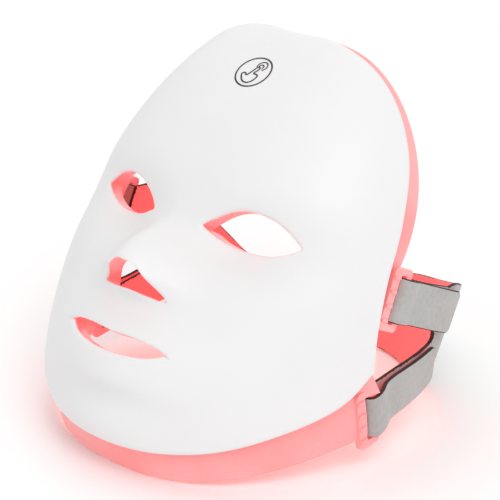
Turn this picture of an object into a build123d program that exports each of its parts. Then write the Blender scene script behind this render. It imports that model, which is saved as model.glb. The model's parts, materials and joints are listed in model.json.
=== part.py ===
from build123d import *
import math
import os

os.makedirs("parts", exist_ok=True)

# The mask is drawn upright, as worn: +X the wearer's left, -Y forward, +Z up, zero at mid-face.
# It is stored leaning back, resting on its chin skirt and on the rear edge of its headgear.
lean_back = 29.6

# Face form: a rounded shell about a centre inside the head, with relief added on it
form_centre_y = 59.5
form_radius = 141.6
form_width = 0.811        # half-width at ear level, as a share of the radius
form_height = 1.235       # half-height, as a share of the radius
form_fullness = 2.5       # exponent of the round form across; 2 is a plain ellipse
crown_fullness = 2.16
chin_fullness = 2.5
jaw_taper = 0.136         # how much narrower the jaw is than the temples

# Layers, as depths below the mask's outer face
outer_wall = 2.0
film_inset = 4.6
film_thick = 0.4
led_size = 3.0
led_height = 1.2
led_gap = 0.15
inner_inset = 8.6
inner_wall = 1.8
collar_inset = 0.8
collar_gap = 0.4
collar_wall = 1.3

# Strap lugs, and the headgear that threads through them
lug_x = 92.2              # inner face of the lug plates
lug_thick = 2.8
lug_bar = 3.6             # the bar behind the slot, that the strap folds round
slot_width = 5.0
slot_length = 24.0
lug_height = 31.0
lug_reach = 14.0          # from the plate's root to the bar's rear face
strap_thick = 2.2
band_mid_x = 88.2         # middle of the band's thickness beside the head
band_centre_y = 15.0      # where the band starts to curve round the back of the head
tab_lift = 3.8            # the folded tab's middle outside the band's middle
pad_thick = 1.0
fold_gap = 0.8

# Lug places in the side view: (y, z) of the bar's rear face, and the arm's upward angle
upper_lug = (-9.0, 24.0, 4.0)
lower_lug = (1.0, -29.4, 37.0)
arm_width = 22.0
upper_tab_length = 54.0
lower_tab_length = 50.0


def smooth_step(t):
    t = min(max(t, 0.0), 1.0)
    return t * t * (3 - 2 * t)


def hump(x, z, x0, z0, width, height):
    return math.exp(-0.5 * ((x - x0) / width) ** 2 - 0.5 * ((z - z0) / height) ** 2)


def relief(x, z):
    """Height of the brow, nose, lips and chin above the round form, in mm."""
    side = abs(x)
    eyes = -12.0 * hump(side, z, 42, 25, 21, 13)
    brow = 2.0 * hump(side, z, 30, 46, 26, 9)
    down = min(max((28 - z) / 34, 0.0), 1.0)
    ridge = math.exp(-0.5 * (x / (7.5 + 6.0 * down)) ** 2)
    nose = 21.0 * smooth_step(down) ** 0.9 * smooth_step((z + 19) / 15) * ridge
    lips = 14.0 * hump(x, z, 0, -44, 30, 17)
    lower_lip = 2.2 * hump(x, z, 0, -52, 19, 4.5)
    under_lip = -2.6 * hump(x, z, 0, -62, 18, 5.5)
    chin = 5.5 * hump(x, z, 0, -76, 20, 9)
    return eyes + brow + nose + lips + lower_lip + under_lip + chin


def form_distance(across, up):
    """Distance from the form's centre to the plain round form, in one direction."""
    full = crown_fullness if up > 0 else chin_fullness
    tall = math.cos(up) ** full + (abs(math.sin(up)) / form_height) ** full
    width = form_width * (1 - jaw_taper * smooth_step(-up / 1.05))
    wide = math.cos(across) ** form_fullness + (abs(math.sin(across)) / width) ** form_fullness
    return form_radius * tall ** (-1 / full) * wide ** (-1 / form_fullness)


def face_point(across, up, inset):
    """A point of the face, or of a layer inset below it, in one direction from the form's centre."""
    ray = Vector(math.sin(across) * math.cos(up), -math.cos(across) * math.cos(up), math.sin(up))
    reach = form_distance(across, up)
    reach += relief(ray.X * reach, ray.Z * reach) - inset
    return Vector(0, form_centre_y, 0) + ray * reach


def direction_at(x, z, inset):
    """The direction in which a layer has the front-view place x, z."""
    across, up = 0.0, 0.0
    for _ in range(40):
        depth = form_centre_y - face_point(across, up, inset).Y
        across = math.atan2(x, depth)
        up = math.atan2(z, math.hypot(x, depth))
    return across, up


def face_plane(x, z, inset):
    """A plane on a layer at the front-view place x, z, with its normal pointing out of the face."""
    across, up = direction_at(x, z, inset)
    step = 0.01
    point = face_point(across, up, inset)
    along = face_point(across + step, up, inset) - face_point(across - step, up, inset)
    rise = face_point(across, up + step, inset) - face_point(across, up - step, inset)
    return Plane(origin=point, x_dir=along, z_dir=along.cross(rise))


def face_layer(inset, steps_across=45, steps_up=53):
    """A smooth surface through a layer, wider than any trimmed part of it."""
    rows = []
    for j in range(steps_up):
        up = math.radians(-52 + 122 * j / (steps_up - 1))
        row = []
        for i in range(steps_across):
            across = math.radians(-64 + 128 * i / (steps_across - 1))
            row.append(face_point(across, up, inset))
        rows.append(row)
    return Face.make_surface_from_array_of_points(rows, tol=0.2, min_deg=3, max_deg=3)


def face_shell(inset, thick):
    """The solid between two layers, before it is trimmed."""
    front = face_layer(inset)
    back = face_layer(inset + thick)
    sides = []
    for edge in front.edges():
        middle = edge @ 0.5
        facing = min(back.edges(), key=lambda other: (other @ 0.5 - middle).length)
        sides.append(Face.make_surface_from_curves(edge, facing))
    return Solid(Shell([front, back] + sides))



def mirrored(shape):
    return mirror(shape, about=Plane.YZ)


def both_sides(shape):
    return shape + mirrored(shape)


def front_prism(outline):
    """A solid through the whole face, from a front-view outline (x, z)."""
    return extrude(Plane.XZ * outline, amount=160)


def side_prism(edges):
    """A solid as wide as the mask, from an outline in the side view (y, z)."""
    return extrude(Plane.YZ * make_face(edges), amount=150, both=True)


# Openings, in the front view: each is a closed smooth curve
def half_mirrored(half):
    """The whole outline of a symmetric opening, from its points on the wearer's left."""
    return half + [(-x, z) for x, z in reversed(half) if x > 0]


def opening_face(points, inward=0.0, samples=22):
    """An opening's outline, or the same curve moved inwards all round."""
    curve = Spline(*points, periodic=True)
    if inward == 0:
        return make_face(curve)
    turn = sum(x0 * z1 - x1 * z0 for (x0, z0), (x1, z1) in zip(points, points[1:] + points[:1]))
    side = inward if turn > 0 else -inward
    moved = []
    for k in range(samples):
        place = curve @ (k / samples)
        along = curve % (k / samples)
        moved.append((place.X - along.Y * side, place.Y + along.X * side))
    return make_face(Spline(*moved, periodic=True))


left_eye = [(14.5, 26.5), (23, 34.8), (33, 40.3), (43, 42), (53, 40.7), (61, 36.8), (67.5, 31.3),
            (61.5, 25.3), (52, 21), (42, 19.4), (31, 19.6), (20.5, 22.2)]
right_eye = [(-x, z) for x, z in left_eye]
nose_opening = half_mirrored([(0, 0.4), (8, -1), (15, -6.4), (21.6, -12), (21, -16), (10, -16.6), (0, -16.2)])
mouth_opening = half_mirrored([(0, -33.6), (14, -33.1), (28, -34.1), (33.6, -37.8), (25, -43.4), (12, -46.2),
                               (0, -46.9)])
openings = [left_eye, right_eye, nose_opening, mouth_opening]


def trimmed_by_openings(shape, inward):
    for points in openings:
        shape -= front_prism(opening_face(points, inward))
    return shape


# Rims, in the side view: a curve along each rim, closed round the front
rim_side = Spline((-50, 150), (-32, 122), (-26, 92), (-27.5, 60), (-29.2, 32), (-27, 6), (-22, -12))
rim_jaw = Spline((-22, -12), (-30, -33), (-49, -57.5), (-66, -77.5), (-80, -89), (-110, -100))
rim_front = Polyline((-110, -100), (-190, -100), (-190, 150), (-50, 150))
outer_trim = side_prism([rim_side, rim_jaw, rim_front])

skirt_side = Spline((-42, 152), (-21, 123), (-13.5, 92), (-14, 60), (-19, 32), (-21.5, 6), (-14, -14))
skirt_back = Polyline((-14, -14), (-2, -24), (1, -40))
skirt_edge = Spline((1, -40), (-14, -54.5), (-33, -72.5), (-65, -100), (-100, -126))
skirt_front = Polyline((-100, -126), (-190, -126), (-190, 152), (-42, 152))
inner_trim = side_prism([skirt_side, skirt_back, skirt_edge, skirt_front])


# Strap lugs and arms, drawn in each lug's own plane: along the arm, across it, and outward
def arm_plane(lug, x):
    y, z, angle = lug
    turn = math.radians(angle)
    return Plane(origin=(x, y, z), x_dir=(0, math.cos(turn), math.sin(turn)), z_dir=(1, 0, 0))


def arm_block(lug, start, end, width, inside, outside):
    """A block along an arm, from start to end behind the bar, between two X positions."""
    outline = Pos((start + end) / 2, 0) * Rectangle(end - start, width)
    return extrude(arm_plane(lug, inside) * outline, amount=outside - inside)


def lug_plate(lug):
    plate = Pos(-lug_reach / 2, 0) * RectangleRounded(lug_reach, lug_height, 2.5)
    plate -= Pos(-lug_bar - slot_width / 2, 0) * RectangleRounded(slot_width, slot_length, 1.5)
    body = extrude(arm_plane(lug, lug_x) * plate, amount=lug_thick)
    for across in (-10.5, -3.5, 3.5, 10.5):
        rib = Pos(-lug_reach + 2.4, across) * Rectangle(4.4, 1.4)
        body += extrude(arm_plane(lug, lug_x + lug_thick) * rib, amount=0.9)
    return body


def lug_root(lug):
    """Where the inner shell's side runs on under a lug plate."""
    return arm_block(lug, -40, -slot_width - lug_bar - 1.2, lug_height - 1, 60, 130)


# Shells
outer_shell = trimmed_by_openings(face_shell(0, outer_wall) & outer_trim, 0)

inner_shell = face_shell(inner_inset, inner_wall) & (inner_trim + both_sides(lug_root(upper_lug)))
inner_shell = trimmed_by_openings(inner_shell, collar_gap + collar_wall / 2)
collar_zone = face_shell(collar_inset, inner_inset + inner_wall / 2 - collar_inset)
for points in openings:
    ring = opening_face(points, collar_gap) - opening_face(points, collar_gap + collar_wall)
    inner_shell += front_prism(ring) & collar_zone
for lug in (upper_lug, lower_lug):
    inner_shell -= both_sides(arm_block(lug, -lug_bar - slot_width, 60, slot_length, 60, 130))
    inner_shell += both_sides(lug_plate(lug))


# Touch mark on the forehead, and the electrode behind it: a fingertip pressing a ring
mark_plane = face_plane(0, 104.5, 0)
mark = Circle(10) - Circle(9.15)
mark += Pos(2.2, 3.4) * (Circle(2.3) - Circle(1.5))
finger = RectangleRounded(3.2, 9.4, 1.5) - RectangleRounded(2.0, 8.2, 0.9)
mark += Pos(-0.9, -1.7) * Rot(0, 0, -32) * finger
for step in (-1, 0, 1):
    mark += Pos(-4.4 + step * 1.1, -1.0 - step * 2.2) * Circle(0.75)
mark_prism = extrude(mark_plane * mark, amount=8, both=True)
touch_mark = face_shell(-0.22, 0.19) & mark_prism
touch_sensor = face_shell(outer_wall + 0.15, 0.3) & extrude(mark_plane * Circle(9), amount=10, both=True)
sensor_contact = face_plane(0, 104.5, outer_wall + 0.55) * Pos(0, 0, -0.85) * Cylinder(2.5, 1.6)

# Electronics between the shells
board_place = face_plane(0, 101, film_inset + 0.2)
screw_places = GridLocations(28, 19, 2, 2)
control_board = board_place * Pos(0, 0, -0.5) * (Box(34, 25, 1) - screw_places * Cylinder(0.9, 1))
chip_sizes = [(0, 0, 6, 6), (-9, 4, 4, 3), (9, 4, 3, 3), (-8, -6, 3, 5), (8, -6, 5, 2.5), (0, 8, 8, 2.5)]
board_chips = Part() + [board_place * Pos(x, y, -1.72) * Box(w, h, 1.4) for x, y, w, h in chip_sizes]
screw = Pos(0, 0, -1.45) * Cylinder(1.5, 0.8) + Pos(0, 0, -0.3) * Cylinder(0.7, 2.2)
board_screws = Part() + [board_place * place * screw for place in screw_places]
buzzer_can = Cylinder(4.5, 2.4) - Pos(0, 0, -1.1) * Cylinder(0.8, 0.4)
buzzer = face_plane(0, 120, film_inset) * Pos(0, 0, -1.2) * buzzer_can

battery_place = face_plane(0, 68, film_inset)
battery = battery_place * Pos(0, 0, -1.6) * fillet(Box(36, 24, 3.2).edges().filter_by(Axis.Y), 1.4)
battery_pad = battery_place * Pos(0, 0, 0.98) * Box(16, 12, 1.9)

port_place = face_plane(-31, -73, 5.3)
port_body = fillet(Box(9, 7.3, 3.2).edges().filter_by(Axis.Y), 1.5)
port_mouth = fillet(Box(8.3, 6.4, 2.5).edges().filter_by(Axis.Y), 1.2)
port_tongue = Pos(0, -0.4, 0) * Box(6.7, 6.0, 0.7)
charge_port = port_place * (port_body - Pos(0, -0.6, 0) * port_mouth + port_tongue)
port_board = port_place * Pos(0, 2.5, -2.1) * Box(14, 12, 0.8)

# LED films with their LEDs, in the front view
forehead_film = make_face(Polyline((-66, 50), (66, 50), (74, 68), (66, 94), (44, 114), (-44, 114),
                                   (-66, 94), (-74, 68), close=True))
forehead_film = fillet(forehead_film.vertices(), 8)
forehead_film -= Pos(0, 92) * RectangleRounded(48, 72, 6)
cheek_film = make_face(Polyline((24, 12), (78, 14), (85, 0), (82, -28), (66, -48), (42, -46), (40, -30),
                                (30, -18), close=True))
cheek_film = fillet(cheek_film.vertices(), 4)
chin_film = make_face(Polyline((-38, -51), (38, -51), (30, -68), (14, -78), (-14, -78), (-30, -68),
                               close=True))
chin_film = fillet(chin_film.vertices(), 4)
film_regions = {"forehead": forehead_film, "left": cheek_film, "right": mirrored(cheek_film),
                "chin": chin_film}

led_pitch = 12.0
led_margin = 3.2


def has_room(region, x, z):
    """Whether an LED at x, z lies well inside a film's outline."""
    corners = [(x + i * led_margin, z + j * led_margin) for i in (-1, 1) for j in (-1, 1)]
    return all(any(face.is_inside(Vector(*corner, 0)) for face in region.faces()) for corner in corners)


film_layer = face_shell(film_inset, film_thick)
films = {}
led_groups = {}
for name, region in film_regions.items():
    films[name] = film_layer & front_prism(region)
    leds = Part()
    for column in range(-7, 8):
        for row in range(-7, 11):
            x, z = column * led_pitch, row * led_pitch - 2
            if has_room(region, x, z):
                spot = face_plane(x, z, film_inset + film_thick + led_gap)
                leds += spot * Pos(0, 0, -led_height / 2) * Box(led_size, led_size, led_height)
    led_groups[name] = leds


# Looms: thin leads that follow the outer shell's inside, between it and the films
def loom(places, lead_radius=0.55, inset=3.3):
    points = []
    for (x0, z0), (x1, z1) in zip(places, places[1:]):
        count = max(1, round(math.hypot(x1 - x0, z1 - z0) / 9))
        for k in range(count):
            across, up = direction_at(x0 + (x1 - x0) * k / count, z0 + (z1 - z0) * k / count, inset)
            points.append(face_point(across, up, inset))
    points.append(face_point(*direction_at(*places[-1], inset), inset))
    path = FilletPolyline(*points, radius=3)
    return sweep(Plane(origin=path @ 0, z_dir=path % 0) * Circle(lead_radius), path=path)


left_loom = loom([(20, 96), (44, 82), (68, 54), (79, 30), (76, 6)])
right_loom = loom([(-20, 96), (-44, 82), (-68, 54), (-79, 30), (-80, 0), (-72, -30), (-54, -54),
                   (-36, -64)])
battery_lead = loom([(8, 78), (12, 84), (11, 90)])


# Headgear: one laminated band round the back of the head, with two arms a side
def wrap_outline(half_width):
    """A head-shaped outline in plan: straight sides, then half a circle behind."""
    return Pos(0, band_centre_y) * (Circle(half_width) + Pos(0, -80) * Rectangle(2 * half_width, 160))


def wrap_wall(middle, thick):
    """An upright wall round the head, at a distance from the middle plane."""
    ring = wrap_outline(middle + thick / 2) - wrap_outline(middle - thick / 2)
    wall = extrude(ring, amount=80, both=True)
    return wall & Pos(0, 60, 0) * Box(240, 170, 160)


arm_start = -lug_bar - slot_width / 2 - strap_thick / 2
fold_end = -0.6
lug_outer_x = lug_x + lug_thick
fold_x = lug_outer_x + fold_gap
band_outline = make_face(Polyline((30, 16), (34, 41), (62, 43), (112, 41), (112, -12), (44, -12), (33, 0),
                                  close=True))
band_outline = fillet(band_outline.vertices().filter_by(lambda v: v.X < 100), 6)
band_zone = extrude(Plane.YZ * band_outline, amount=150, both=True)
band_zone += arm_block(upper_lug, arm_start, 62, arm_width, -150, 150)
band_zone += arm_block(lower_lug, arm_start, 58, arm_width, -150, 150)
headgear_band = wrap_wall(band_mid_x, strap_thick) & band_zone
for lug in (upper_lug, lower_lug):
    inside = band_mid_x - strap_thick / 2
    through = arm_block(lug, arm_start, arm_start + strap_thick, arm_width, inside, fold_x + strap_thick)
    turned = arm_block(lug, arm_start, fold_end, arm_width, fold_x, fold_x + strap_thick)
    headgear_band += both_sides(through + turned)


def folded_tab(lug, length):
    """The arm's end, from the fold to its blunt tip, lying over the band."""
    hinge_x = fold_x + strap_thick
    inner = band_mid_x + tab_lift - strap_thick / 2
    outline = make_face(Polyline((-0.2, fold_x), (-0.2, hinge_x), (2, hinge_x), (13, inner + strap_thick),
                                 (13, inner), (1.2, fold_x), close=True))
    y, z, angle = lug
    turn = math.radians(angle)
    along = Vector(0, math.cos(turn), math.sin(turn))
    across = Vector(0, -math.sin(turn), math.cos(turn))
    foot = Vector(0, y, z) - across * (arm_width / 2)
    slope_plane = Plane(origin=foot, x_dir=along, z_dir=along.cross(Vector(1, 0, 0)))
    slope = extrude(slope_plane * outline, amount=arm_width, dir=across)
    tip = make_face(Polyline((13, -11), (length - 3, -9.5), (length, -8), (length, 8), (length - 3, 9.5),
                             (13, 11), close=True))
    zone = extrude(arm_plane(lug, 0) * tip, amount=150)
    return slope + (wrap_wall(band_mid_x + tab_lift, strap_thick) & zone)


def hook_pad(lug, length):
    zone = arm_block(lug, 17, length - 5, arm_width - 6, 0, 150)
    return wrap_wall(band_mid_x + strap_thick / 2 + 0.3 + pad_thick / 2, pad_thick) & zone


upper_tab = folded_tab(upper_lug, upper_tab_length)
lower_tab = folded_tab(lower_lug, lower_tab_length)
upper_pad = hook_pad(upper_lug, upper_tab_length)
lower_pad = hook_pad(lower_lug, lower_tab_length)

nodes = {
    "outer_shell": outer_shell,
    "inner_shell": inner_shell,
    "touch_mark": touch_mark,
    "touch_sensor": touch_sensor,
    "sensor_contact": sensor_contact,
    "control_board": control_board,
    "board_chips": board_chips,
    "board_screws": board_screws,
    "buzzer": buzzer,
    "battery": battery,
    "battery_pad": battery_pad,
    "charge_port": charge_port,
    "port_board": port_board,
    "left_loom": left_loom,
    "right_loom": right_loom,
    "battery_lead": battery_lead,
    "headgear_band": headgear_band,
    "upper_left_tab": upper_tab,
    "upper_right_tab": mirrored(upper_tab),
    "lower_left_tab": lower_tab,
    "lower_right_tab": mirrored(lower_tab),
    "upper_left_hook_pad": upper_pad,
    "upper_right_hook_pad": mirrored(upper_pad),
    "lower_left_hook_pad": lower_pad,
    "lower_right_hook_pad": mirrored(lower_pad),
}
for name, film in films.items():
    nodes["led_film_" + name] = film
    nodes["leds_" + name] = led_groups[name]

# Lean everything back, set the chin skirt on the table, and centre the whole on the origin
leaned = {name: Rot(-lean_back, 0, 0) * shape for name, shape in nodes.items()}
table = leaned["inner_shell"].bounding_box().min.Z
below_table = Pos(0, 0, table - 50) * Box(600, 600, 100)
leaned["headgear_band"] -= below_table
boxes = [shape.bounding_box() for shape in leaned.values()]
front = min(box.min.Y for box in boxes)
rear = max(box.max.Y for box in boxes)
settle = Pos(0, -(front + rear) / 2, -table)
print("moved onto the origin by", settle.position)
for name, shape in leaned.items():
    export_step(settle * shape, f"parts/{name}.step")
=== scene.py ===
import bpy
import json
import math
import numpy as np
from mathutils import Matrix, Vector, geometry


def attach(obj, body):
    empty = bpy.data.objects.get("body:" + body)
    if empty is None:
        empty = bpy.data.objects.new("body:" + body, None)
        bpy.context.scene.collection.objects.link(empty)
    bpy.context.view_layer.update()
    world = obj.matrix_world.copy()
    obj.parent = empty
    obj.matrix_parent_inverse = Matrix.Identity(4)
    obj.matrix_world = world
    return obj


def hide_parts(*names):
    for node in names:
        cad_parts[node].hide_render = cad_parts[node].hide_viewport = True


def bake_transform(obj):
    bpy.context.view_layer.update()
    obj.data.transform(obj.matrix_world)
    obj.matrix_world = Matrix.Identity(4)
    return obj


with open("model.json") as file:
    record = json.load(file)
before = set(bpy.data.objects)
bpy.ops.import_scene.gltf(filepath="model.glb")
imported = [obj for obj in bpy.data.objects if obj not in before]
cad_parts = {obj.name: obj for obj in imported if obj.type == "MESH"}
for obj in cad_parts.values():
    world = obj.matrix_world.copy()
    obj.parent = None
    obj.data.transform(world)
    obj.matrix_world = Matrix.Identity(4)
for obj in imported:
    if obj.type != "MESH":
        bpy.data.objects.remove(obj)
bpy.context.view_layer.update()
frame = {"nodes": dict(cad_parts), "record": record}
nodes = frame["nodes"]
print("frame loaded:", len(nodes), "nodes")

mm = 0.001
deg = math.pi / 180


class Sock:
    # wraps one output socket, so that shader maths reads as plain expressions
    def __init__(self, tree, socket):
        self.tree = tree
        self.socket = socket

    def maths(self, operation, *values):
        return self.tree.node("ShaderNodeMath", {"operation": operation}, list(values) or [self])

    def __add__(self, other):
        return self.maths("ADD", self, other)

    def __radd__(self, other):
        return self.maths("ADD", other, self)

    def __sub__(self, other):
        return self.maths("SUBTRACT", self, other)

    def __rsub__(self, other):
        return self.maths("SUBTRACT", other, self)

    def __mul__(self, other):
        return self.maths("MULTIPLY", self, other)

    def __rmul__(self, other):
        return self.maths("MULTIPLY", other, self)


class Tree:
    # one material's node tree
    def __init__(self, name):
        self.material = bpy.data.materials.new(name)
        self.material.use_nodes = True
        self.nodes = self.material.node_tree.nodes
        self.links = self.material.node_tree.links
        self.nodes.clear()
        self.output = self.nodes.new("ShaderNodeOutputMaterial")

    def node(self, kind, settings=None, values=None, out=0):
        made = self.nodes.new(kind)
        for key, value in (settings or {}).items():
            setattr(made, key, value)
        pairs = values.items() if isinstance(values, dict) else enumerate(values or [])
        for key, value in pairs:
            self.feed(made.inputs[key], value)
        return Sock(self, made.outputs[out])

    def feed(self, target, value):
        if isinstance(value, Sock):
            self.links.new(value.socket, target)
        else:
            target.default_value = value

    def mix(self, factor, a, b):
        # the colour sockets of a Mix node are numbers 6 and 7, and its colour result is output 2
        return self.node("ShaderNodeMix", {"data_type": "RGBA"}, {0: factor, 6: a, 7: b}, out=2)

    def place(self):
        return self.node("ShaderNodeNewGeometry")

    def axis(self, vector, index):
        return self.node("ShaderNodeSeparateXYZ", None, [vector], out=index)

    def noise(self, scale, detail):
        return self.node("ShaderNodeTexNoise", None,
                         {"Vector": self.place(), "Scale": scale, "Detail": detail})

    def between(self, value, low, high):
        return self.node("ShaderNodeMapRange", {"interpolation_type": "SMOOTHSTEP"},
                         [value, low, high, 0.0, 1.0])

    def bump(self, height, distance, strength=1.0):
        return self.node("ShaderNodeBump", None,
                         {"Height": height, "Distance": distance, "Strength": strength})

    def plastic(self, values):
        shader = self.node("ShaderNodeBsdfPrincipled", None, values)
        self.links.new(shader.socket, self.output.inputs["Surface"])
        return self.material


def colour(r, g, b):
    return (r, g, b, 1.0)


def dimmed(tint, share):
    return tuple(share * part for part in tint[:3]) + (1.0,)


# The form is drawn upright, as worn, then leaned back and set down on the table.
pose = {"lean": 29.6, "shiftY": -0.9405, "shiftZ": 53.7567}
form = {"centreY": 59.5, "radius": 141.6, "width": 0.811, "height": 1.235, "fullness": 2.5,
        "crown": 2.16, "chin": 2.5, "taper": 0.136}


def setDown(points):
    turn = pose["lean"] * deg
    x, y, z = points[..., 0], points[..., 1], points[..., 2]
    return np.stack([x, y * math.cos(turn) + z * math.sin(turn) + pose["shiftY"],
                     -y * math.sin(turn) + z * math.cos(turn) + pose["shiftZ"]], -1) * mm


def smoothStep(t):
    t = np.clip(t, 0, 1)
    return t * t * (3 - 2 * t)


def hump(x, z, x0, z0, width, height):
    return np.exp(-0.5 * ((x - x0) / width) ** 2 - 0.5 * ((z - z0) / height) ** 2)


def relief(x, z):
    side = np.abs(x)
    eyes = -12.0 * hump(side, z, 42, 25, 21, 13)
    brow = 2.0 * hump(side, z, 30, 46, 26, 9)
    down = np.clip((28 - z) / 34, 0, 1)
    ridge = np.exp(-0.5 * (x / (7.5 + 6.0 * down)) ** 2)
    nose = 21.0 * smoothStep(down) ** 0.9 * smoothStep((z + 19) / 15) * ridge
    lips = 14.0 * hump(x, z, 0, -44, 30, 17)
    lowerLip = 2.2 * hump(x, z, 0, -52, 19, 4.5)
    underLip = -2.6 * hump(x, z, 0, -62, 18, 5.5)
    chin = 5.5 * hump(x, z, 0, -76, 20, 9)
    return eyes + brow + nose + lips + lowerLip + underLip + chin


def facePoints(across, up, inset):
    full = np.where(up > 0, form["crown"], form["chin"])
    tall = np.cos(up) ** full + (np.abs(np.sin(up)) / form["height"]) ** full
    width = form["width"] * (1 - form["taper"] * smoothStep(-up / 1.05))
    wide = np.cos(across) ** form["fullness"] + (np.abs(np.sin(across)) / width) ** form["fullness"]
    reach = form["radius"] * tall ** (-1 / full) * wide ** (-1 / form["fullness"])
    ray = np.stack([np.sin(across) * np.cos(up), -np.cos(across) * np.cos(up), np.sin(up)], -1)
    reach = reach + relief(ray[..., 0] * reach, ray[..., 2] * reach) - inset
    return ray * reach[..., None] + np.array([0, form["centreY"], 0])


def directions(x, z, inset=0.0):
    # the direction in which the layer has the front-view place x, z
    x, z = np.asarray(x, float), np.asarray(z, float)
    across, up = np.zeros_like(x), np.zeros_like(x)
    for _ in range(60):
        depth = form["centreY"] - facePoints(across, up, inset)[..., 1]
        across = 0.5 * across + 0.5 * np.arctan2(x, depth)
        up = 0.5 * up + 0.5 * np.arctan2(z, np.hypot(x, depth))
    return np.stack([across, up], -1)


def rimDirections(side, inset=0.0):
    # the rim: where the layer meets a side-view curve (y, z), from the crown round to the chin
    y, z = side[:, 0], side[:, 1]
    low, high, up = np.zeros(len(y)), np.full(len(y), 1.45), np.zeros(len(y))
    for _ in range(36):
        across = 0.5 * (low + high)
        for _ in range(14):
            point = facePoints(across, up, inset)
            up = up + 0.6 * (np.arctan2(z, np.hypot(point[:, 0], form["centreY"] - point[:, 1])) - up)
        nearer = facePoints(across, up, inset)[:, 1] < y
        low = np.where(nearer, across, low)
        high = np.where(nearer, high, across)
    half = np.stack([across, up], -1)[(across > 0.03) & (across < 1.4)]
    return half


def wholeRim(side, count, inset=0.0):
    half = rimDirections(side, inset)
    other = half[::-1] * np.array([-1, 1])
    return evenly(np.vstack([half, other]), count, closed=True)


def splineThrough(points, count, closed=False):
    # a Catmull-Rom curve, evenly sampled
    points = np.asarray(points, float)
    if closed:
        ring = np.vstack([points[-1], points, points[0], points[1]])
    else:
        ring = np.vstack([2 * points[0] - points[1], points, 2 * points[-1] - points[-2]])
    dense = []
    for a, b, c, d in zip(ring, ring[1:], ring[2:], ring[3:]):
        for t in np.linspace(0, 1, 24, endpoint=False):
            dense.append(0.5 * (2 * b + (c - a) * t + (2 * a - 5 * b + 4 * c - d) * t ** 2
                                + (3 * b - a - 3 * c + d) * t ** 3))
    dense.append(ring[-2])
    return evenly(np.array(dense), count, closed)


def evenly(points, count, closed=False):
    if closed:
        points = np.vstack([points, points[:1]]) if np.linalg.norm(points[0] - points[-1]) > 1e-9 else points
    steps = np.linalg.norm(np.diff(points, axis=0), axis=1)
    length = np.concatenate([[0], np.cumsum(steps)])
    places = np.linspace(0, length[-1], count, endpoint=not closed)
    return np.stack([np.interp(places, length, points[:, k]) for k in range(points.shape[1])], -1)


def insideOf(points, ring):
    inside = np.zeros(len(points), bool)
    x, y = points[:, 0], points[:, 1]
    for (x0, y0), (x1, y1) in zip(ring, np.roll(ring, -1, axis=0)):
        crosses = (y0 > y) != (y1 > y)
        if y0 != y1:
            inside ^= crosses & (x < (x1 - x0) * (y - y0) / (y1 - y0) + x0)
    return inside


def distanceTo(points, ring):
    best = np.full(len(points), 1e9)
    for a, b in zip(ring, np.roll(ring, -1, axis=0)):
        along = b - a
        size = max(along @ along, 1e-18)
        t = np.clip((points - a) @ along / size, 0, 1)
        gap = points - a - t[:, None] * along
        best = np.minimum(best, np.sqrt((gap ** 2).sum(1)))
    return best


def ringInwards(ring, amount):
    # a ring moved to its own left side by an amount, which is inwards on a ring drawn anticlockwise
    before, after = np.roll(ring, 1, axis=0), np.roll(ring, -1, axis=0)
    along = after - before
    along /= np.linalg.norm(along, axis=1)[:, None] + 1e-12
    return ring + np.stack([-along[:, 1], along[:, 0]], -1) * amount


def area(ring):
    x, y = ring[:, 0], ring[:, 1]
    return 0.5 * np.sum(x * np.roll(y, -1) - y * np.roll(x, -1))


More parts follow.
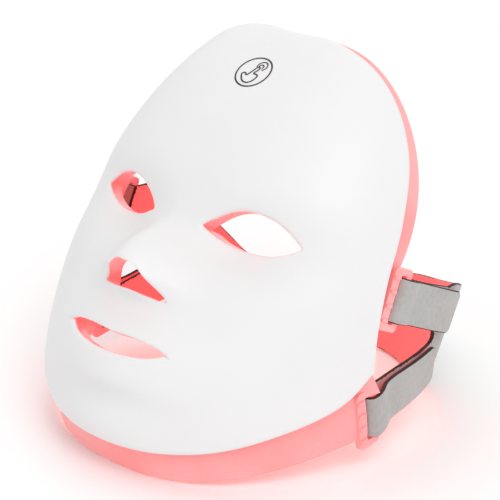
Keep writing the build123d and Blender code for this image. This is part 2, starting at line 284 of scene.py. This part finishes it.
def cutSheet(name, outline, holes, pitch, surface, edgeRings, materials, edgeFaces=0.0):
    # surface(flat, gap) gives front and back points for flat places and their gap to the nearest edge
    rings = [outline if area(outline) > 0 else outline[::-1]]
    rings += [hole[::-1] if area(hole) > 0 else hole for hole in holes]
    points, edges = [], []
    for ring in rings:
        start = len(points)
        points += list(ring)
        edges += [(start + k, start + (k + 1) % len(ring)) for k in range(len(ring))]
    for ring in rings:
        for amount in edgeRings:
            moved = ringInwards(ring, amount)
            keep = np.ones(len(moved), bool)
            for other in rings:
                keep &= distanceTo(moved, other) > amount * 0.93
            points += list(moved[keep])
    low, high = rings[0].min(0), rings[0].max(0)
    columns = int((high[0] - low[0]) / pitch) + 2
    rows = int((high[1] - low[1]) / (pitch * 0.866)) + 2
    grid = np.array([(low[0] + (i + 0.5 * (j % 2)) * pitch, low[1] + j * pitch * 0.866)
                     for j in range(rows) for i in range(columns)])
    clear = insideOf(grid, rings[0])
    gap = distanceTo(grid, rings[0])
    for ring in rings[1:]:
        clear &= ~insideOf(grid, ring)
        gap = np.minimum(gap, distanceTo(grid, ring))
    clear &= gap > (edgeRings[-1] if edgeRings else 0) + 0.55 * pitch
    points += list(grid[clear])
    flat = np.array(points)
    done = geometry.delaunay_2d_cdt([Vector(p) for p in flat], edges, [], 0, 1e-9)
    flat = np.array([tuple(p) for p in done[0]])
    triangles = np.array([tuple(face) for face in done[2]])
    middle = flat[triangles].mean(1)
    keep = insideOf(middle, rings[0])
    for ring in rings[1:]:
        keep &= ~insideOf(middle, ring)
    triangles = triangles[keep]
    gap = np.full(len(flat), 1e9)
    for ring in rings:
        gap = np.minimum(gap, distanceTo(flat, ring))
    gap[gap < 1e-7] = 0
    front, back = surface(flat, gap)
    count = len(flat)
    border = {}
    for a, b, c in triangles:
        for edge in ((a, b), (b, c), (c, a)):
            if (edge[1], edge[0]) in border:
                del border[(edge[1], edge[0])]
            else:
                border[edge] = True
    mesh = bpy.data.meshes.new(name)
    faces = [tuple(int(v) for v in t) for t in triangles]
    faces += [tuple(int(v) + count for v in t[::-1]) for t in triangles]
    faces += [(int(b), int(a), int(a) + count, int(b) + count) for a, b in border]
    mesh.from_pydata([tuple(p) for p in np.vstack([front, back])], [], faces)
    mesh.validate()
    for material in materials:
        mesh.materials.append(material)
    size = len(triangles)
    nearEdge = gap[triangles].mean(1) < edgeFaces
    kinds = np.zeros(len(mesh.polygons), int)
    kinds[:size] = np.where(nearEdge, min(1, len(materials) - 1), 0)
    kinds[size:2 * size] = np.where(nearEdge, min(1, len(materials) - 1), min(2, len(materials) - 1))
    kinds[2 * size:] = min(1, len(materials) - 1)
    mesh.polygons.foreach_set("material_index", kinds)
    mesh.polygons.foreach_set("use_smooth", [True] * len(mesh.polygons))
    made = bpy.data.objects.new(name, mesh)
    bpy.context.scene.collection.objects.link(made)
    print("  ", name, len(mesh.polygons), "faces")
    return made


def whiteSatin():
    t = Tree("white_satin")
    grain = t.noise(2600, 2)
    drift = t.noise(14, 3)
    tint = t.mix(t.between(drift, 0.3, 0.7), colour(0.79, 0.785, 0.79), colour(0.815, 0.81, 0.812))
    rough = 0.38 + 0.10 * drift + 0.05 * grain
    return t.plastic({"Base Color": tint, "Roughness": rough, "Normal": t.bump(grain, 0.00002, 0.35),
                      "Specular IOR Level": 0.42, "Subsurface Weight": 0.08,
                      "Subsurface Radius": (0.004, 0.0025, 0.0025), "Subsurface Scale": 1.0})


def litClear():
    # the translucent inner moulding: milky pink where the LEDs shine through it; the pink base colour and the
    # red emission are painted glow of the LEDs
    t = Tree("lit_clear")
    cloud = t.noise(22, 3)
    fine = t.noise(900, 2)
    deep = t.between(cloud, 0.35, 0.68)
    tint = t.mix(deep, colour(0.98, 0.42, 0.42), colour(0.98, 0.34, 0.34))
    # painted glow: the moulding emits the red LED light that shines through it
    glow = t.mix(deep, colour(0.12, 0.02, 0.02), colour(0.17, 0.02, 0.02))
    return t.plastic({"Base Color": tint, "Roughness": 0.22 + 0.1 * cloud, "Emission Color": glow,
                      "Emission Strength": 1.0, "Normal": t.bump(fine, 0.00002, 0.25),
                      "Specular IOR Level": 0.5, "Coat Weight": 0.15})


def strapFace(name, light, dark, glow):
    # short-pile laminated knit: fine courses with a slightly uneven nap
    t = Tree(name)
    place = t.place()
    x, y, z = (t.axis(place, k) for k in range(3))
    wales = ((x + y) * 5200).maths("SINE")
    courses = ((z - y * 0.3) * 6400).maths("SINE")
    knit = wales * courses * 0.5 + 0.5
    nap = t.noise(420, 4)
    patch = t.noise(35, 3)
    tint = t.mix(t.between(nap * 0.5 + patch * 0.5, 0.3, 0.7), dark, light)
    values = {"Base Color": tint, "Roughness": 0.82 + 0.1 * nap, "Normal": t.bump(knit + nap, 0.00012, 0.55),
              "Sheen Weight": 0.25, "Sheen Roughness": 0.5}
    # painted light: on the lining the emission paints the red LED light that falls on the inside of the strap
    if glow:
        values["Emission Color"] = t.mix(t.between(patch, 0.3, 0.7), glow, dimmed(glow, 0.8))
        values["Emission Strength"] = 1.0
    return t.plastic(values)


def plain(name, a, b, scale, rough, metal=0.0, height=0.00005, emit=None):
    # small inner pieces: a two-tone mottle with its own grain
    t = Tree(name)
    mottle = t.noise(scale, 4)
    grain = t.noise(scale * 6, 2)
    values = {"Base Color": t.mix(t.between(mottle, 0.3, 0.7), a, b), "Roughness": rough + 0.12 * mottle,
              "Metallic": metal, "Normal": t.bump(grain, height, 0.4)}
    if emit:
        values["Emission Color"] = t.mix(t.between(grain, 0.2, 0.8), emit, dimmed(emit, 0.85))
        values["Emission Strength"] = 4.0
    return t.plastic(values)


white = whiteSatin()
clear = litClear()
greyFace = strapFace("strap_grey", colour(0.47, 0.46, 0.45), colour(0.38, 0.37, 0.36), None)
# the lining's last colour is painted red LED light, given out as emission
lining = strapFace("strap_lining", colour(0.62, 0.2, 0.2), colour(0.55, 0.16, 0.16), colour(0.62, 0.03, 0.03))
darkEdge = plain("strap_edge", colour(0.045, 0.014, 0.012), colour(0.028, 0.009, 0.009), 300, 0.7)
printed = plain("dark_print", colour(0.035, 0.02, 0.02), colour(0.02, 0.012, 0.012), 900, 0.45)
finishes = {
    "copper": plain("copper_foil", colour(0.62, 0.3, 0.16), colour(0.5, 0.22, 0.11), 200, 0.3, 1.0),
    "dark_foam": plain("foam", colour(0.03, 0.03, 0.032), colour(0.015, 0.015, 0.016), 800, 0.9, 0, 0.0002),
    "circuit_board": plain("solder_mask", colour(0.01, 0.10, 0.03), colour(0.015, 0.14, 0.045), 150, 0.35),
    "black_package": plain("moulded_black", colour(0.012, 0.012, 0.013), colour(0.02, 0.02, 0.021), 400, 0.5),
    "steel": plain("plated_steel", colour(0.6, 0.6, 0.62), colour(0.5, 0.5, 0.52), 500, 0.28, 1.0),
    "battery_film": plain("pouch_foil", colour(0.4, 0.41, 0.43), colour(0.33, 0.34, 0.36), 120, 0.35, 0.8),
    "lead_sleeve": plain("wire_sleeve", colour(0.45, 0.015, 0.012), colour(0.36, 0.01, 0.01), 300, 0.4),
    "circuit_film": plain("polyimide", colour(0.85, 0.80, 0.78), colour(0.75, 0.70, 0.68), 90, 0.5),
    "red_led": plain("led_red", colour(1.0, 0.18, 0.14), colour(0.9, 0.12, 0.1), 300, 0.3, 0, 0.00002,
                     colour(1.0, 0.10, 0.06)),
    "hook_tape": plain("hook_tape", colour(0.035, 0.018, 0.016), colour(0.02, 0.01, 0.01), 1500, 0.8,
                       0, 0.0003),
    "clear_shell": clear,
}
for entry in frame["record"]["subparts"]:
    node = nodes[entry["node"]]
    if entry["material_slot"] in finishes:
        node.data.materials.clear()
        node.data.materials.append(finishes[entry["material_slot"]])
        node.data.polygons.foreach_set("material_index", [0] * len(node.data.polygons))
print("materials ready")


shell = {"wall": 2.0, "overlap": 1.9, "curl": 2.6, "drop": 1.15, "pitch": 2.2, "perRadian": 150.0}
leftEye = [(14.5, 26.5), (23, 34.8), (33, 40.3), (43, 42), (53, 40.7), (61, 36.8), (67.5, 31.3),
           (61.5, 25.3), (52, 21), (42, 19.4), (31, 19.6), (20.5, 22.2)]
rightEye = [(-x, z) for x, z in leftEye]


def bothHalves(half):
    return half + [(-x, z) for x, z in reversed(half) if x > 0]


noseHole = bothHalves([(0, 0.4), (8, -1), (15, -6.4), (21.6, -12), (21, -16), (10, -16.6), (0, -16.2)])
mouthHole = bothHalves([(0, -33.6), (14, -33.1), (28, -34.1), (33.6, -37.8), (25, -43.4), (12, -46.2),
                        (0, -46.9)])
holeCounts = ((leftEye, 84), (rightEye, 84), (noseHole, 64), (mouthHole, 96))
rimSide = [(-50, 150), (-32, 122), (-26, 92), (-27.5, 60), (-29.2, 32), (-27, 6), (-22, -12)]
rimJaw = [(-22, -12), (-30, -33), (-49, -57.5), (-66, -77.5), (-80, -89), (-110, -100)]


def shellHoles():
    found = []
    for points, count in holeCounts:
        flat = splineThrough(points, count, closed=True)
        flat = ringInwards(flat, -shell["overlap"] if area(flat) < 0 else shell["overlap"])
        found.append(directions(flat[:, 0], flat[:, 1]))
    return found


def shellSurface(flat, gap):
    away = np.minimum(gap * shell["perRadian"], shell["curl"]) / shell["curl"]
    curl = shell["drop"] * (1 - np.sqrt(1 - (1 - away) ** 2))
    front = facePoints(flat[:, 0], flat[:, 1], curl)
    back = facePoints(flat[:, 0], flat[:, 1], np.full(len(flat), shell["wall"]))
    return setDown(front), setDown(back)


rimCurve = np.vstack([splineThrough(rimSide, 900)[:-1], splineThrough(rimJaw, 600)])
shellOutline = wholeRim(rimCurve, 420)
curlRings = [d / shell["perRadian"] for d in (0.25, 0.7, 1.3, 2.0, 2.8)]
outerShell = cutSheet("outer_shell_skin", shellOutline, shellHoles(), shell["pitch"] / shell["perRadian"],
                      shellSurface, curlRings, [white])
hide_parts("outer_shell")
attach(outerShell, "mask")
print("outer shell built")


strap = {"thick": 2.2, "middle": 88.2, "curveStart": 15.0, "lift": 3.8, "width": 22.0,
         "lugX": 92.2, "lugThick": 2.8, "gap": 0.8, "enter": -6.1}
lugs = {"upper": (-9.0, 24.0, 4.0), "lower": (1.0, -29.4, 37.0)}
halfRound = strap["curveStart"] + math.pi * strap["middle"] / 2


def wrapped(along, z, radius, side):
    # unrolled places beside and behind the head, put round it at a radius
    bend = np.maximum(along - strap["curveStart"], 0) / strap["middle"]
    x = radius * np.cos(bend)
    y = np.minimum(along, strap["curveStart"]) + radius * np.sin(bend)
    return setDown(np.stack([side * x, y, z], -1))


def armPlace(lug, along, across):
    y, z, angle = lugs[lug]
    c, s = math.cos(angle * deg), math.sin(angle * deg)
    return (y + along * c - across * s, z + along * s + across * c)


def bandSurface(flat, gap):
    half = strap["thick"] / 2
    away = np.minimum(gap / 1.0, 1)
    depth = half * (0.35 + 0.65 * np.sqrt(1 - (1 - away) ** 2))
    along = halfRound - np.abs(flat[:, 0])
    side = np.where(flat[:, 0] >= 0, 1, -1)
    outer = wrapped(along, flat[:, 1], strap["middle"] + depth, side)
    inner = wrapped(along, flat[:, 1], strap["middle"] - depth, side)
    return outer, inner


def bandOutline():
    # the far half of the band is slack and sags behind the head; the lower edge rests on the table
    w = strap["width"] / 2
    taut = splineThrough([(halfRound, 39.0), (130, 42.0), (110, 42.5), (70, 43.0), (46, 42.0),
                          (36, 39.0)], 40)
    slack = splineThrough([(halfRound, 39.0), (132, 29.0), (104, 18.0), (84, 18.5), (70.7, 22.5),
                           (59.9, 27.5),
                           (49.6, 31.8), (36, 37.0), (18, 41.0), (4, 42.0), (-2, 41.0)], 60)
    arms = [armPlace("upper", strap["enter"], w), armPlace("upper", strap["enter"], -w),
            armPlace("upper", 24, -w), (30, 16.2), (36, 15.2), (38.5, 12.0), (35.5, 8.6),
            armPlace("lower", 26, w), armPlace("lower", strap["enter"], w),
            armPlace("lower", strap["enter"], -w),
            armPlace("lower", 40, -w), (46, -10.8), (56, -10.4), (110, -10.0), (halfRound, -9.9)]
    near = [tuple(p) for p in taut] + [armPlace("upper", 20, w)] + arms
    far = [tuple(p) for p in slack] + arms
    ring = [(halfRound - along, z) for along, z in near]
    ring += [(along - halfRound, z) for along, z in reversed(far) if halfRound - along > 0.01]
    ring = evenly(np.array(ring), 560, closed=True)
    along = halfRound - np.abs(ring[:, 0])
    bend = np.maximum(along - strap["curveStart"], 0) / strap["middle"]
    y = np.minimum(along, strap["curveStart"]) + (strap["middle"] + 1.1) * np.sin(bend)
    table = (y * math.sin(pose["lean"] * deg) - pose["shiftZ"]) / math.cos(pose["lean"] * deg)
    ring[:, 1] = np.maximum(ring[:, 1], table + 0.05)
    return ring


band = cutSheet("headgear_cloth", bandOutline(), [], 3.2, bandSurface, [0.35, 0.8, 1.4],
                [greyFace, darkEdge, lining], edgeFaces=0.5)
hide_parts("headgear_band")
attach(band, "mask")


def foldPath(lug, length):
    # (along, radius) of the arm's end: inside the lug, out through the slot, back over the bar
    outside = strap["lugX"] + strap["lugThick"] + strap["gap"] + strap["thick"] / 2
    inner = strap["middle"]
    rest = strap["middle"] + strap["lift"]
    corners = [(6.0, inner + 0.2), (-1.0, inner + 0.4), (-4.6, inner + 1.6), (-6.2, inner + 4.6),
               (-6.0, outside - 2.2), (-4.2, outside), (-0.5, outside + 0.1), (4.0, outside - 1.2),
               (10.0, rest + 0.9), (16.0, rest), (24.0, rest), (34.0, rest), (length, rest)]
    return splineThrough(corners, 90)


def armEnd(name, lug, side, length):
    path = foldPath(lug, length)
    tangent = np.gradient(path, axis=0)
    tangent /= np.linalg.norm(tangent, axis=1)[:, None]
    normal = np.stack([-tangent[:, 1], tangent[:, 0]], -1)
    half = strap["thick"] / 2
    wide = strap["width"] / 2
    profile = [(-1, 0.0), (-0.985, 0.62), (-0.95, 0.92), (-0.9, 1.0)]
    profile += [(w, 1.0) for w in (-0.6, -0.3, 0.0, 0.3, 0.6)]
    profile += [(-w, h) for w, h in reversed(profile[:4])]
    loop = profile + [(w, -h) for w, h in reversed(profile[1:-1])]
    verts, faces, kinds = [], [], []
    tip = np.clip((path[:, 0] - (length - 3)) / 3, 0, 1) * (np.arange(len(path)) > 45)
    for k, ((along, radius), (n0, n1)) in enumerate(zip(path, normal)):
        narrow = 1 - 0.16 * tip[k] ** 2
        for w, h in loop:
            a = along + n0 * h * half
            r = radius + n1 * h * half
            y, z = armPlace(lug, a, w * wide * narrow)
            verts.append((y, z, r))
    verts = np.array(verts)
    points = wrapped(verts[:, 0], verts[:, 1], verts[:, 2], side)
    size = len(loop)
    for k in range(len(path) - 1):
        for j in range(size):
            faces.append((k * size + j, k * size + (j + 1) % size,
                          (k + 1) * size + (j + 1) % size, (k + 1) * size + j))
            w = 0.5 * (loop[j][0] + loop[(j + 1) % size][0])
            h = 0.5 * (loop[j][1] + loop[(j + 1) % size][1])
            kinds.append(1 if abs(w) > 0.94 else (0 if h > 0 else 2))
    faces.append(tuple(range(size)))
    faces.append(tuple(range(len(verts) - size, len(verts)))[::-1])
    kinds += [1, 1]
    if side < 0:
        faces = [face[::-1] for face in faces]
    mesh = bpy.data.meshes.new(name)
    mesh.from_pydata([tuple(p) for p in points], [], faces)
    for material in (greyFace, darkEdge, lining):
        mesh.materials.append(material)
    mesh.polygons.foreach_set("material_index", kinds)
    mesh.polygons.foreach_set("use_smooth", [True] * len(faces))
    made = bpy.data.objects.new(name, mesh)
    bpy.context.scene.collection.objects.link(made)
    return made


def framePoint(side, along, x, lug):
    y, z = armPlace(lug, along, 0)
    return tuple(setDown(np.array([side * x, y, z])))


for lug, length in (("upper", 54.0), ("lower", 50.0)):
    for word, side in (("left", 1), ("right", -1)):
        body = lug + "_" + word + "_tab"
        piece = armEnd(body + "_cloth", lug, side, length)
        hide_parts(body)
        framePoint(side, -3.0, 98, lug)
        framePoint(side, 4.0, 98, lug)
        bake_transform(piece)
print("headgear built")


mark = {"x": 0.0, "z": 104.5, "ring": 10.0, "line": 0.85, "lift": 0.14}


def markPlace(u, v):
    # u across and v up the forehead, in millimetres from the mark's middle
    centre = directions(np.array([mark["x"]]), np.array([mark["z"]]))[0]
    step = 0.01
    here = facePoints(centre[0], centre[1], 0.0)
    acrossStep = np.linalg.norm(facePoints(centre[0] + step, centre[1], 0.0) - here) / step
    upStep = np.linalg.norm(facePoints(centre[0], centre[1] + step, 0.0) - here) / step
    return setDown(facePoints(centre[0] + u / acrossStep, centre[1] + v / upStep, -mark["lift"]))


def stroke(points, width, closed):
    points = evenly(np.asarray(points, float), 96, closed)
    if closed:
        along = np.roll(points, -1, axis=0) - np.roll(points, 1, axis=0)
    else:
        along = np.gradient(points, axis=0)
    along /= np.linalg.norm(along, axis=1)[:, None]
    beside = np.stack([-along[:, 1], along[:, 0]], -1) * width / 2
    count = len(points)
    strokeFaces = [(k, (k + 1) % count, (k + 1) % count + count, k + count)
                   for k in range(count if closed else count - 1)]
    return np.vstack([points - beside, points + beside]), strokeFaces


def arc(cx, cy, r, a0, a1, count=48):
    return [(cx + r * math.cos(a * deg), cy + r * math.sin(a * deg)) for a in np.linspace(a0, a1, count)]


hand = [(0.3, 3.2), (1.7, 3.3), (2.0, 2.0), (0.7, -0.8), (2.9, -1.2), (3.9, -2.4), (3.0, -5.4), (0.6, -7.2),
        (-2.6, -6.6), (-5.4, -3.4), (-5.2, -2.1), (-3.9, -1.8), (-2.4, -2.8), (-0.9, 0.4)]
strokes = [(arc(0, 0, mark["ring"] - mark["line"] / 2, 0, 357), mark["line"], True),
           (arc(2.3, 4.4, 2.9, -60, 200), 0.7, False),
           (arc(2.0, 4.0, 1.3, -50, 190), 0.7, False),
           (splineThrough(hand, 90, closed=True), 0.8, True)]
verts, faces = [], []
for points, width, closed in strokes:
    flat, made = stroke(points, width, closed)
    faces += [tuple(v + len(verts) for v in face) for face in made]
    verts += list(flat)
verts = np.array(verts)
markMesh = bpy.data.meshes.new("touch_print")
markMesh.from_pydata([tuple(p) for p in markPlace(verts[:, 0], verts[:, 1])], [], faces)
markMesh.materials.append(printed)
touchPrint = bpy.data.objects.new("touch_print", markMesh)
bpy.context.scene.collection.objects.link(touchPrint)
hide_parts("touch_mark")
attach(touchPrint, "mask")
print("touch mark built")


def floorMaterial():
    t = Tree("floor_pale")
    return t.plastic({"Base Color": t.mix(t.noise(3, 2), colour(0.96, 0.96, 0.96),
                                          colour(0.975, 0.975, 0.975)),
                      "Roughness": 0.6})


floorPlan = {"plan": [(-3, -3), (3, -3), (3, 3), (-3, 3)], "height": -0.0004}
floorMesh = bpy.data.meshes.new("floor")
corners = [(x, y, floorPlan["height"]) for x, y in floorPlan["plan"]]
floorMesh.from_pydata(corners, [], [(0, 1, 2, 3)])
floorMesh.materials.append(floorMaterial())
floor = bpy.data.objects.new("floor", floorMesh)
bpy.context.scene.collection.objects.link(floor)

world = bpy.data.worlds.new("studio")
world.use_nodes = True
world.node_tree.nodes["Background"].inputs[0].default_value = (1, 1, 1, 1)
world.node_tree.nodes["Background"].inputs[1].default_value = 0.85
bpy.context.scene.world = world
bpy.context.scene.view_settings.view_transform = "Standard"


def areaLight(name, place, aim, size, power):
    data = bpy.data.lights.new(name, "AREA")
    data.size = size
    data.energy = power
    light = bpy.data.objects.new(name, data)
    light.location = place
    light.rotation_euler = (Vector(aim) - Vector(place)).to_track_quat("-Z", "Y").to_euler()
    bpy.context.scene.collection.objects.link(light)


middle = (0, 0, 0.1)
areaLight("key", (0.9, -0.5, 1.3), middle, 0.9, 7)
areaLight("fill", (-1.0, 0.9, 1.0), middle, 1.2, 3)

# one soft red lamp in the hollow stands for the light that the LEDs throw down
ledGlow = {"power": 1.1, "tint": (1.0, 0.10, 0.08), "cone": 88, "blend": 0.6, "radius": 0.03,
           "place": (0.0, -10.0, 70.0), "aim": (0, 0.01, 0)}
glowData = bpy.data.lights.new("led_glow", "SPOT")
glowData.energy = ledGlow["power"]
glowData.color = ledGlow["tint"]
glowData.spot_size = ledGlow["cone"] * deg
glowData.spot_blend = ledGlow["blend"]
glowData.shadow_soft_size = ledGlow["radius"]
glowLamp = bpy.data.objects.new("led_glow", glowData)
glowLamp.location = tuple(setDown(np.array(ledGlow["place"])))
glowLamp.rotation_euler = (Vector(ledGlow["aim"]) - glowLamp.location).to_track_quat("-Z", "Y").to_euler()
bpy.context.scene.collection.objects.link(glowLamp)

view = {"azimuth": 43.2, "elevation": 23.6, "distance": 0.9674, "lens": 136.9374, "sensor": 36,
        "aimRight": -1.1, "aimUp": 24.7}
a, e = view["azimuth"] * deg, view["elevation"] * deg
back = Vector((math.sin(a) * math.cos(e), -math.cos(a) * math.cos(e), math.sin(e)))
right = Vector((math.cos(a), math.sin(a), 0))
upward = back.cross(right)
faceMiddle = Vector(setDown(np.zeros(3)))
cameraData = bpy.data.cameras.new("camera")
cameraData.sensor_width = view["sensor"]
cameraData.lens = view["lens"]
camera = bpy.data.objects.new("camera", cameraData)
camera.location = faceMiddle + back * view["distance"]
target = faceMiddle + (right * view["aimRight"] + upward * view["aimUp"]) * mm
camera.rotation_euler = (target - camera.location).to_track_quat("-Z", "Y").to_euler()
bpy.context.scene.collection.objects.link(camera)
bpy.context.scene.camera = camera
print("studio ready")
